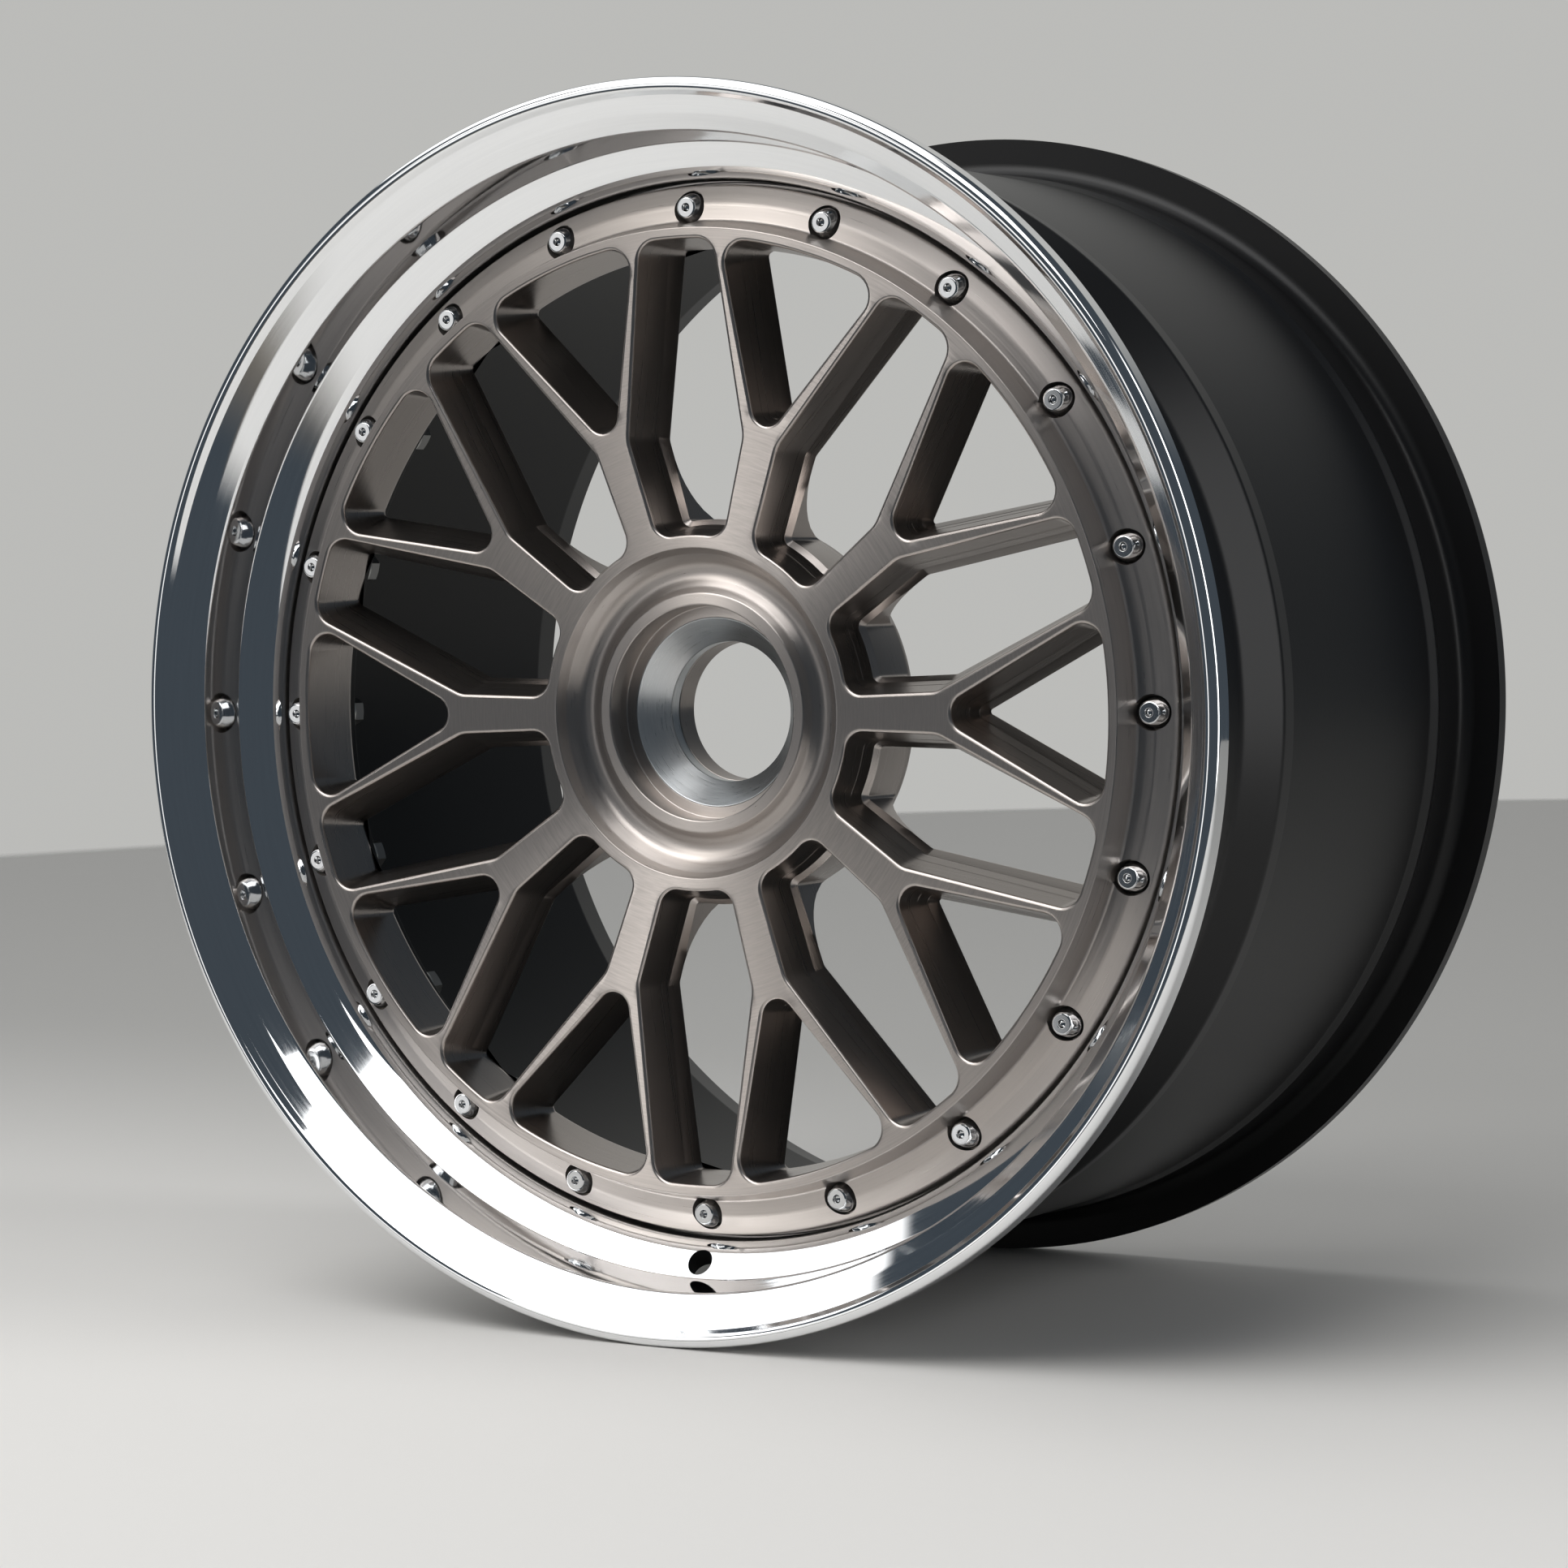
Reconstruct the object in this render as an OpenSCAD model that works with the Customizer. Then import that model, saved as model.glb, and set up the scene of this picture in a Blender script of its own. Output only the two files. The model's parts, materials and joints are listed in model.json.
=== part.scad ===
// Split rim car wheel for a centre-lock hub: a polished outer rim half, a black inner rim half
// and a forged centre disc with ten forked spokes, clamped together by one ring of bolts.
// Millimetres. The wheel's axis is Y, the street side faces -Y, and the origin is the middle
// of the rim width. Angles are counted from +X towards +Z.

/* [Rim] */
// Outside diameter of both flanges
flange_d = 522; // [520:0.5:528]
// Height of a flange over its bead seat
flange_h = 17.3; // [16.5:0.1:18]
// Width between the two flanges
rim_w = 279.4; // [268:0.1:292]
// Axial thickness of a flange with its rolled edge
flange_t = 10; // [9:0.5:12]
// Radius of the rolled edge of a flange
edge_r = 3.2; // [2.5:0.1:3.6]
// Radius of the fillet between a bead seat and its flange
bead_fillet_r = 6.5; // [5:0.5:7]
// Width of a bead seat from its flange to the hump
seat_w = 21.5; // [20:0.5:24]
// Height of the hump over the inner end of the bead seat
hump_h = 1.2; // [0.6:0.1:1.6]
// Depth of the well below the bead seats
well_depth = 11.7; // [10:0.1:13]
// Depth of the inner half's tube below its bead seat
tube_depth = 2.7; // [2:0.1:3.5]
// Wall of the inner half's tube
tube_wall = 4.5; // [3.5:0.1:5]
// Wall of both halves at the well
well_wall = 6.5; // [5.5:0.1:7]
// Wall of the outer half under its bead seat
seat_wall = 3.7; // [3:0.1:4.5]
// Diameter of the valve hole
valve_d = 11.3; // [8:0.1:14]

/* [Joint between the halves] */
// Distance from the front flange in to the seat that carries the disc
lip_depth = 51.2; // [48:0.1:56]
// Thickness of the outer half's bolting flange
outer_flange_t = 6; // [5:0.5:8]
// Thickness of the inner half's bolting flange
inner_flange_t = 7; // [5:0.5:9]
// Width of the bolting flanges inside the bolt circle
pilot_edge = 8.8; // [8.4:0.1:10]
// Height of the disc's spigot inside the bolting flanges
spigot_h = 3; // [2:0.5:5]
// Leg of the sealing groove's chamfers
groove_leg = 3; // [2:0.1:3.5]
// Crown of the sealing bead over the well
seal_crown = 0.5; // [0.2:0.1:1]

/* [Rim bolts] */
// Number of rim bolts
bolt_n = 20; // [10:10:20]
// Distance from the well in to the bolt circle
bolt_inset = 20.7; // [20:0.1:22]
// Shank diameter
bolt_d = 8; // [7:0.5:9]
// Diameter of the head at its foot
head_d = 13.2; // [12.5:0.1:13.8]
// Diameter of the head's flat tip
tip_d = 9; // [8:0.1:10]
// Height of the head
head_h = 10.5; // [9:0.1:12]
// Diameter of the centre hole in the tip
dimple_d = 3.4; // [2:0.1:4]
// Depth of the centre hole in the tip
dimple_depth = 3; // [1:0.5:5]
// Diameter of the round pocket that holds a head
pocket_d = 14.8; // [14.4:0.1:15.4]
// Width across flats of a nut
nut_af = 13; // [12:0.5:13]
// Height of a nut with its flange
nut_h = 8; // [7:0.5:10]
// Diameter of a nut's flange
nut_flange_d = 16; // [15:0.5:16.5]
// Thickness of a nut's flange
nut_flange_t = 1.6; // [1:0.1:2.5]
// Diameter of a washer
washer_d = 16.6; // [16:0.1:17]
// Thickness of a washer
washer_t = 1.5; // [1:0.1:2]
// Thread that shows past a nut
thread_out = 2.5; // [1:0.5:5]

/* [Centre disc] */
// Width of the disc's ring outside the bolt circle
ring_edge = 9.7; // [9.2:0.1:10.5]
// Distance from the bolt circle in to the outer ends of the windows
ring_web = 13.7; // [13:0.1:16]
// Thickness of the ring at the bolts
ring_t = 15.7; // [15:0.1:17]
// Height of the spoke face over the disc's back at the outer end of the spokes
spoke_t_ring = 28; // [26:0.5:30]
// Height of the spoke face over the disc's back at the hub
spoke_t_hub = 20.3; // [18:0.1:23]
// Flat of the ring outside the windows
rim_land = 4.6; // [3:0.1:5.5]
// Number of forked spokes
spoke_n = 10; // [10:10:10]
// Width of a spoke's stem at the hub
stem_w_hub = 14.9; // [12:0.1:18]
// Width of a spoke's stem at the fork
stem_w_fork = 17.7; // [15:0.1:20]
// Length of a spoke's stem from the windows' inner ends to the fork's outer knee
stem_len = 43.5; // [38:0.5:48]
// Angle between a stem and an arm's outer side
arm_out_deg = 25; // [23:0.1:26]
// Angle between a stem and an arm's inner side
arm_in_deg = 27.3; // [26.5:0.1:29]
// Width of an arm at the ring
arm_w_ring = 2.8; // [2:0.1:4]
// Radius of the window corners
corner_r = 8.5; // [8:0.1:10]
// Inward lean of a window wall over the disc's depth
wall_lean = 6.5; // [5:0.1:7]

/* [Hub] */
// Depth of the hub's rear face behind the spokes' backs
pad_depth = 30.5; // [27:0.5:34]
// Step from the windows' inner ends out to the rear pad's edge
pad_step = 3.3; // [1:0.1:5]
// Radius of the sweep from the pad to the spokes' backs
sweep_r = 32; // [28:0.5:32]
// Centre bore diameter
bore_d = 59; // [56:0.5:62]
// Radial thickness of the nut seat insert
insert_wall = 10.7; // [9:0.1:12]
// Width of the recess floor round the insert
ledge_w = 5.1; // [4:0.1:7]
// Width of the bowl's raised inner ring
inner_ring_w = 4.7; // [4:0.1:6]
// Width of the bowl's groove
groove_w = 19.5; // [17:0.5:22]
// Width of the hub's face between the bowl and the windows
hub_rim_w = 5.5; // [4.5:0.1:8]
// Depth of the inner ring below the hub's face
inner_ring_drop = 5.8; // [4:0.1:7]
// Depth of the bowl's groove below the hub's face
groove_drop = 11; // [9.5:0.1:12.5]
// Depth of the recess floor below the hub's face
recess_drop = 18.4; // [16:0.1:21]
// Depth of the cone in the insert
cone_depth = 11.6; // [10:0.1:12]
// Straight land behind the cone
cone_land = 6; // [4:0.5:8]
// Number of drive pin bushes
pin_n = 5; // [5:5:5]
// Distance from the bore out to the circle of the drive pins
pin_inset = 26.5; // [26:0.5:30]
// Outside diameter of a drive pin bush
bush_d = 24; // [20:0.5:25]
// Bore of a drive pin bush
pin_d = 16; // [12:0.5:18]
// Length of a drive pin bush
bush_len = 18; // [12:1:20]

/* [Hidden] */

// Clearances
bolt_play = 0.3;
pilot_play = 0.3;
press_play = 0.05;
thread_play = 0.15;
seal_play = 0.1;
land_play = 0.3;

// Radii
flange_r = flange_d / 2;
seat_r = flange_r - flange_h;
well_r = seat_r - well_depth;
tube_r = seat_r - tube_depth;
bolt_pr = well_r - bolt_inset;
pilot_r = bolt_pr - pilot_edge;
disc_r = bolt_pr + ring_edge;
win_out_r = bolt_pr - ring_web;
bore_r = bore_d / 2;
insert_r = bore_r + insert_wall;
recess_r = insert_r + ledge_w;
inner_ring_r = recess_r + inner_ring_w;
bowl_r = inner_ring_r + groove_w;
win_in_r = bowl_r + hub_rim_w;
pad_r = win_in_r + pad_step;
fork_r = win_in_r + stem_len;
pin_pr = bore_r + pin_inset;
taper = tan(5);
apex_r = flange_r - 1.1 * edge_r;
crease_r = flange_r - 7.4;

// Stations along the axis
front = -rim_w / 2 - flange_t;
seat_y = lip_depth - rim_w / 2;
joint_y = seat_y + outer_flange_t;
nut_y = joint_y + inner_flange_t;
land_y = seat_y - ring_t;
head_y = land_y - 3.2;
pocket_y = head_y + head_h;
hub_y = seat_y + pad_depth;
hub_face_y = seat_y - spoke_t_hub;
ring_face_y = seat_y - spoke_t_ring;
recess_y = hub_face_y + recess_drop;
insert_back_y = recess_y + cone_depth + cone_land;

// Slope of the conical spoke face and its height at a radius
face_rise = (hub_face_y - ring_face_y) / (win_out_r - win_in_r);
function face_y(r) = hub_face_y - face_rise * (r - win_in_r);

// Points on an arc about c, in steps from one angle to another
function arc(c, r, a0, a1, steps) =
    [for (i = [0:steps]) c + r * [cos(a0 + (a1 - a0) * i / steps), sin(a0 + (a1 - a0) * i / steps)]];

// A profile of [radius, y] points turned about the wheel's axis
module turned(profile) {
    rotate([-90, 0, 0]) rotate_extrude($fn = 180) polygon(profile);
}

// Copies set evenly round the wheel's axis
module ring_of(n, first = 0) {
    for (i = [0:n - 1]) rotate([0, -first - i * 360 / n, 0]) children();
}

// A straight round body along the wheel's axis, from one station to another
module bar(r, y0, y1, r_end = -1) {
    translate([0, y0, 0]) rotate([-90, 0, 0])
        cylinder(h = y1 - y0, r1 = r, r2 = r_end < 0 ? r : r_end, $fn = 48);
}

// Tyre side of one bead, as [radius, distance in from the flange's outer plane]
function bead_side() = concat(
    arc([flange_r - edge_r, edge_r], edge_r, -80, 0, 4),
    arc([flange_r - 1, flange_t - 1], 1, 0, 90, 2),
    arc([seat_r + bead_fillet_r, flange_t + bead_fillet_r], bead_fillet_r, 270, 180, 4),
    [[seat_r - taper * seat_w, flange_t + seat_w]],
    arc([seat_r - taper * seat_w - 4 + hump_h, flange_t + seat_w + 4], 4, -20, 60, 3));

// Outer side of a flange, from the band under the bead seat up the crowned slope to the rolled edge
function flange_side() = let (
        foot = [seat_r - seat_wall + 0.8, flange_t + 2.7],
        crease = [crease_r, edge_r - 0.2],
        crown = 0.4)
    concat(
        [[seat_r - seat_wall, flange_t + 4.2]],
        [for (t = [0:0.25:1]) foot + t * (crease - foot) - [0, crown * sin(180 * t)]],
        arc([apex_r, edge_r], edge_r, 200, 270, 3));

module outer_rim_half() {
    function out(p) = [for (q = p) [q[0], front + q[1]]];
    shoulder_in = [seat_r - seat_wall - 2.3, front + flange_t + 23.8];
    cone_in = [well_r - well_wall + 1.7, seat_y - 14.6];
    profile = concat(
        out(bead_side()),
        [[well_r, seat_y - 11.3], [well_r, joint_y - groove_leg], [well_r - groove_leg, joint_y]],
        [[pilot_r, joint_y], [pilot_r, seat_y]],
        arc([well_r - well_wall - 2, seat_y - 2], 2, 90, 0, 3),
        [[well_r - well_wall + 0.8, seat_y - 12]],
        [cone_in, shoulder_in],
        out(flange_side()));
    valve = cone_in + 0.51 * (shoulder_in - cone_in);
    valve_tilt = atan2(shoulder_in[0] - cone_in[0], cone_in[1] - shoulder_in[1]);
    color("silver") difference() {
        turned(profile);
        ring_of(bolt_n) translate([bolt_pr, 0, 0]) bar(bolt_d / 2 + bolt_play, seat_y - 1, joint_y + 1);
        rotate([0, 90, 0]) translate([valve[0], valve[1], 0]) rotate([0, 0, valve_tilt]) rotate([0, 90, 0])
            translate([0, 0, -14]) cylinder(h = 28, d = valve_d, $fn = 48);
    }
}

module inner_rim_half() {
    function out(p) = [for (i = [len(p) - 1:-1:0]) [p[i][0], -front - p[i][1]]];
    crest_y = joint_y + 36;
    profile = concat(
        [[pilot_r, nut_y], [pilot_r, joint_y], [well_r - groove_leg, joint_y]],
        [[well_r, joint_y + groove_leg], [well_r, crest_y - 19]],
        [[well_r + 1, crest_y - 15], [tube_r + 0.4, crest_y - 2.5], [tube_r + 1, crest_y]],
        [[tube_r + 0.6, crest_y + 4], [tube_r, crest_y + 20], [tube_r, -front - flange_t - seat_w - 12]],
        out(bead_side()),
        [for (i = [len(flange_side()) - 1:-1:0]) [flange_side()[i][0], -front - flange_side()[i][1]]],
        [[tube_r - tube_wall, -front - flange_t - seat_w]],
        [[tube_r - tube_wall, crest_y + 3], [tube_r - tube_wall - 1.6, crest_y - 2]],
        [[well_r - well_wall + 0.6, crest_y - 18], [well_r - well_wall, crest_y - 22]],
        arc([well_r - well_wall - 2, nut_y + 2], 2, 0, -90, 3));
    color([0.06, 0.06, 0.06]) difference() {
        turned(profile);
        ring_of(bolt_n) translate([bolt_pr, 0, 0]) bar(bolt_d / 2 + bolt_play, joint_y - 1, nut_y + 1);
    }
}

// Sealant laid in the groove where the two halves meet
module sealing_bead() {
    g = groove_leg - seal_play;
    color([0.1, 0.1, 0.1]) turned([
        [well_r - g + seal_play, joint_y], [well_r, joint_y - g + seal_play],
        [well_r + seal_crown, joint_y - g / 2], [well_r + seal_crown, joint_y + g / 2],
        [well_r, joint_y + g - seal_play]]);
}

// Window geometry in a plane: u runs out along the window's or the spoke's own axis, v across.
// A corner circle of radius r touches a circle about the wheel's axis and a straight wall
// through point p with direction d and inward normal n.
function corner(p, d, n, r, reach) =
    let (q = p + r * n, b = q * d, c = q * q - reach * reach)
    q + d * (-b + sqrt(b * b - c));
function heading(v) = atan2(v[1], v[0]);

// Where two straight walls cross
function crossing(p, d, q, e) =
    let (w = q - p) p + d * (w[0] * e[1] - w[1] * e[0]) / (d[0] * e[1] - d[1] * e[0]);

// Radius of the ring-side wall before the inward lean, which is less on that side
function rim_reach(lean) = win_out_r + 0.6 * lean;

pitch = 360 / spoke_n;
arm_half_deg = asin(arm_w_ring / 2 / cos(14) / win_out_r);
stem_lean = asin((stem_w_fork - stem_w_hub) / 2 / (fork_r - win_in_r));

// Upper wall of a spoke's arm and stem as seen from the spoke's own axis
fork_p = [sqrt(fork_r * fork_r - stem_w_fork * stem_w_fork / 4), stem_w_fork / 2];
arm_end_deg = heading(fork_p + [cos(arm_out_deg), sin(arm_out_deg)] *
    (-(fork_p * [cos(arm_out_deg), sin(arm_out_deg)])
     + sqrt(pow(fork_p * [cos(arm_out_deg), sin(arm_out_deg)], 2) - fork_p * fork_p + win_out_r * win_out_r)));

// The larger window, between two spokes, drawn about its own axis and leaned in by lean
function turn(p, a) = [p[0] * cos(a) - p[1] * sin(a), p[0] * sin(a) + p[1] * cos(a)];
function wide_half(lean) = let (
        knee = turn([fork_p[0], -fork_p[1]], pitch / 2),
        knee_r = corner_r * 1.5,
        arm_d = [cos(pitch / 2 - arm_out_deg), sin(pitch / 2 - arm_out_deg)],
        stem_d = [cos(pitch / 2 - stem_lean), sin(pitch / 2 - stem_lean)],
        arm_n = [arm_d[1], -arm_d[0]],
        stem_n = [stem_d[1], -stem_d[0]],
        outer_c = corner(knee, arm_d, arm_n, corner_r, rim_reach(lean) - corner_r),
        hub_c = [for (s = [-1, 1]) let (q = knee + corner_r * stem_n, b = q * stem_d)
            q + stem_d * (-b + s * sqrt(b * b - q * q + pow(win_in_r + corner_r, 2)))],
        knee_c = crossing(knee + knee_r * arm_n, arm_d, knee + knee_r * stem_n, stem_d))
    concat(
        arc(hub_c[1], corner_r - lean, heading(-hub_c[1]) + 360, heading(-stem_n), 3),
        arc(knee_c, knee_r - lean, heading(-stem_n), heading(-arm_n), 2),
        arc(outer_c, corner_r - lean, heading(-arm_n), heading(outer_c), 3));

// The smaller window, inside a fork, from the axis of the spoke outwards
function fork_half(lean) = let (
        foot = win_out_r * [cos(arm_end_deg - 2 * arm_half_deg), sin(arm_end_deg - 2 * arm_half_deg)],
        arm_d = [cos(arm_in_deg), sin(arm_in_deg)],
        arm_n = [arm_d[1], -arm_d[0]],
        apex_c = crossing(foot + corner_r * arm_n, arm_d, [0, 0], [1, 0]),
        outer_c = corner(foot, arm_d, arm_n, corner_r, rim_reach(lean) - corner_r))
    concat(
        arc(apex_c, corner_r - lean, 180, heading(-arm_n), 2),
        arc(outer_c, corner_r - lean, heading(-arm_n), heading(outer_c), 3));

// Closes half an outline over its axis
function whole(half, lean) = let (
        n = len(half),
        top = [for (k = [-1:1]) heading(half[n - 1]) * -k / 2],
        top_r = rim_reach(lean) - lean,
        first = half[0][1] > 0.01 ? 0 : 1)
    concat(half, [for (a = top) top_r * [cos(a), sin(a)]],
        [for (i = [n - 1:-1:first]) [half[i][0], -half[i][1]]]);

// A window's cutter: straight through the face, leaning in to the disc's back, straight behind it
module window_cutter(face_line, back_line) {
    n = len(face_line);
    levels = concat(
        [for (p = face_line) [p[0], ring_face_y - 10, p[1]]],
        [for (p = face_line) [p[0], face_y(norm(p)) + 0.8, p[1]]],
        [for (p = back_line) [p[0], seat_y + 0.4, p[1]]],
        [for (p = back_line) [p[0], hub_y + 10, p[1]]]);
    sides = [for (k = [0:2]) for (i = [0:n - 1]) let (j = (i + 1) % n)
        each [[k * n + i, (k + 1) * n + j, k * n + j], [k * n + i, (k + 1) * n + i, (k + 1) * n + j]]];
    caps = [[for (i = [0:n - 1]) i], [for (i = [n - 1:-1:0]) 3 * n + i]];
    polyhedron(levels, concat(sides, caps));
}

module centre_disc() {
    a_r = win_out_r + rim_land;
    sweep_c = [pad_r + 1.7 + sweep_r, hub_y + 1.5];
    front_side = concat(
        [[bore_r, insert_back_y], [insert_r + press_play, insert_back_y]],
        [[insert_r + press_play, recess_y], [recess_r, recess_y]],
        [[recess_r, hub_face_y + inner_ring_drop + 0.8], [recess_r + 0.8, hub_face_y + inner_ring_drop]],
        [[inner_ring_r - 0.8, hub_face_y + inner_ring_drop]],
        [[inner_ring_r + 0.6, hub_face_y + inner_ring_drop + 0.9]],
        [[inner_ring_r + 4, hub_face_y + groove_drop - 1.4]],
        [[inner_ring_r + 8, hub_face_y + groove_drop]],
        [[bowl_r - 7.5, hub_face_y + groove_drop - 1]],
        [[bowl_r - 3.2, hub_face_y + groove_drop - 4.6]],
        [[bowl_r - 0.8, face_y(bowl_r) + 1.6], [bowl_r, face_y(bowl_r)]]);
    ring_side = [
        [a_r, face_y(a_r)], [bolt_pr - 5.9, land_y - 1], [bolt_pr + 1.2, land_y],
        [disc_r - 1.5, land_y + 3.6], [disc_r, land_y + 5.4], [disc_r, seat_y],
        [pilot_r - pilot_play, seat_y], [pilot_r - pilot_play, seat_y + spigot_h],
        [win_out_r - 0.4, seat_y + spigot_h], [win_out_r - 0.6, seat_y]];
    back_side = concat(
        arc(sweep_c, sweep_r, 270, 192, 7),
        [[pad_r, hub_y - 1], [pad_r - 1, hub_y], [bore_r + 3.5, hub_y], [bore_r, hub_y - 3.5]]);
    color([0.42, 0.4, 0.38]) difference() {
        turned(concat(front_side, ring_side, back_side));
        ring_of(spoke_n, pitch / 2) window_cutter(whole(wide_half(0), 0), whole(wide_half(wall_lean), wall_lean));
        ring_of(spoke_n) window_cutter(whole(fork_half(0), 0), whole(fork_half(wall_lean), wall_lean));
        ring_of(bolt_n) translate([bolt_pr, 0, 0]) {
            bar(pocket_d / 2, ring_face_y - 1, pocket_y);
            bar(bolt_d / 2 + bolt_play, pocket_y - 1, seat_y + 1);
        }
        ring_of(pin_n) translate([pin_pr, 0, 0]) {
            bar(bush_d / 2 + press_play, hub_y - bush_len, hub_y + 1);
            bar(pin_d / 2, hub_y - bush_len - 2, hub_y);
        }
    }
}

// Hard steel ring with the cone that the centre nut presses on
module nut_seat_insert() {
    color([0.72, 0.74, 0.78]) turned([
        [insert_r, recess_y + 0.3], [insert_r, insert_back_y], [bore_r + land_play, insert_back_y],
        [bore_r + land_play, recess_y + cone_depth], [insert_r - 0.3, recess_y]]);
}

// Steel bushes for the hub's drive pins, pressed into the rear pad
module drive_pin_bushes() {
    color([0.6, 0.6, 0.62]) ring_of(pin_n) translate([pin_pr, 0, 0]) difference() {
        bar(bush_d / 2, hub_y - bush_len, hub_y - 0.5);
        bar(pin_d / 2, hub_y - bush_len - 1, hub_y);
    }
}

// One bolt: domed head in the disc's pocket, shank through both flanges
module rim_bolt() {
    shoulder = head_y + head_h * 0.42;
    color([0.8, 0.8, 0.82]) difference() {
        union() {
            bar(head_d / 2, shoulder, pocket_y);
            bar(head_d / 2 - 1.1, shoulder - 2, shoulder, head_d / 2);
            bar(tip_d / 2, head_y + 0.5, shoulder - 2, head_d / 2 - 1.1);
            bar(tip_d / 2 - 0.7, head_y, head_y + 0.5, tip_d / 2);
            bar(bolt_d / 2, pocket_y, nut_y + washer_t + nut_h + thread_out);
        }
        bar(dimple_d / 2, head_y - 1, head_y + dimple_depth);
    }
}

module rim_bolts() {
    ring_of(bolt_n) translate([bolt_pr, 0, 0]) rim_bolt();
}

module rim_washers() {
    color([0.62, 0.62, 0.6]) ring_of(bolt_n) translate([bolt_pr, 0, 0]) difference() {
        bar(washer_d / 2, nut_y, nut_y + washer_t);
        bar(bolt_d / 2 + bolt_play, nut_y - 1, nut_y + washer_t + 1);
    }
}

// One flanged nut: round foot, hexagon and a round locking collar
module rim_nut() {
    foot = nut_y + washer_t;
    difference() {
        union() {
            bar(nut_flange_d / 2, foot, foot + nut_flange_t);
            translate([0, foot, 0]) rotate([-90, 0, 0]) cylinder(h = nut_h - 1.6, d = nut_af / cos(30), $fn = 6);
            bar(nut_af / 2 - 0.8, foot, foot + nut_h);
        }
        bar(bolt_d / 2 + thread_play, foot - 1, foot + nut_h + 1);
    }
}

module rim_nuts() {
    color([0.58, 0.58, 0.57]) ring_of(bolt_n) translate([bolt_pr, 0, 0]) rim_nut();
}

outer_rim_half();
inner_rim_half();
sealing_bead();
centre_disc();
nut_seat_insert();
drive_pin_bushes();
rim_bolts();
rim_washers();
rim_nuts();
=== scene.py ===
import json
import math

import bmesh
import bpy
from mathutils import Matrix, Vector

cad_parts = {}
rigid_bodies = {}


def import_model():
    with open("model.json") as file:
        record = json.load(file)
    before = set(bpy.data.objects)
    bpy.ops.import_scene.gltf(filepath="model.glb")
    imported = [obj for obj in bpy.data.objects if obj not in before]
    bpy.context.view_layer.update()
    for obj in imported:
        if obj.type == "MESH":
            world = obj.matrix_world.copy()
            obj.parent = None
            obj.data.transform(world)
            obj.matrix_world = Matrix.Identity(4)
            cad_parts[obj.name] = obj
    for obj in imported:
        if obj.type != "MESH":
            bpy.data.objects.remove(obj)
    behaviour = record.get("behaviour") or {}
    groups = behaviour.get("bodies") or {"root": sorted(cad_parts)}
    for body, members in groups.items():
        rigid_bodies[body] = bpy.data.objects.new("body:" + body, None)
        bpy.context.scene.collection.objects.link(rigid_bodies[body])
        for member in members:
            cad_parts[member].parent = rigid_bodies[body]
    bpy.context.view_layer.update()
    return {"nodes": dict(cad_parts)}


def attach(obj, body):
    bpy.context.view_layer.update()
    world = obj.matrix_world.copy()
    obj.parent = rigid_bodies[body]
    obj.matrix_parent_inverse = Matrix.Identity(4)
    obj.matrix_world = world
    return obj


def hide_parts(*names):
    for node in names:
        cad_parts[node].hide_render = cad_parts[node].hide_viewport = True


for stray in list(bpy.data.objects):
    bpy.data.objects.remove(stray)
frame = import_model()

# Outer rim half: the front lip, forged in aluminium and turned all over. The side that faces
# the street is polished to a mirror, the tyre's side is coated black, and its flange is
# bolted behind the centre disc.
MM = 0.001
TURN_STEPS = 336
SECTORS = 12
VALVE_HOLE_R = 5.65
# How far the valve drill starts inside the wheel from the hole's middle, and how far outside it ends
VALVE_DRILL = (-10, 20)
# Points nearer than this become one, after a piece is built and after a cut
SAME_PLACE = 0.004
SLIVER = 0.0005
# Range that most of a noise texture's values lie in
NOISE_LOW, NOISE_HIGH = 0.3, 0.7
# Middle of the valve hole and the way that it leads out, as (radius, along the axis)
VALVE_PLACE = (232.55, -109.63)
VALVE_WAY = (0.773, 0.634)
# Corners of the profile as (radius, along the axis, rounding)
LIP_POLISHED = [
    (202.5, -82.5, 0), (202.5, -88.5, 0.4), (222.4, -88.5, 2), (222.4, -104.7, 14), (237.6, -115.0, 1.2),
    (240, -136.2, 2.5), (246.6, -141.95, 14), (253.4, -146.6, 0.5),
    (256, -149.7, 3), (261, -149.7, 3.2), (261, -139.7, 0)]
LIP_TYRE_SIDE = [
    (261, -139.7, 0), (243.7, -139.7, 6.5), (241.8, -118.2, 4), (243, -114.2, 2.5), (240.8, -110.4, 3),
    (232, -99.8, 8), (232, -85.5, 0.3), (229, -82.5, 0.3), (202.5, -82.5, 0)]


def heading_of(vector):
    return math.atan2(vector.y, vector.x)


def arc(middle, radius, start, end, steps):
    """Points on an arc that goes the short way round from one direction to another."""
    turned = math.remainder(end - start, 2 * math.pi)
    ways = [start + turned * i / steps for i in range(steps + 1)]
    return [middle + radius * Vector((math.cos(way), math.sin(way))) for way in ways]


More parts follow.
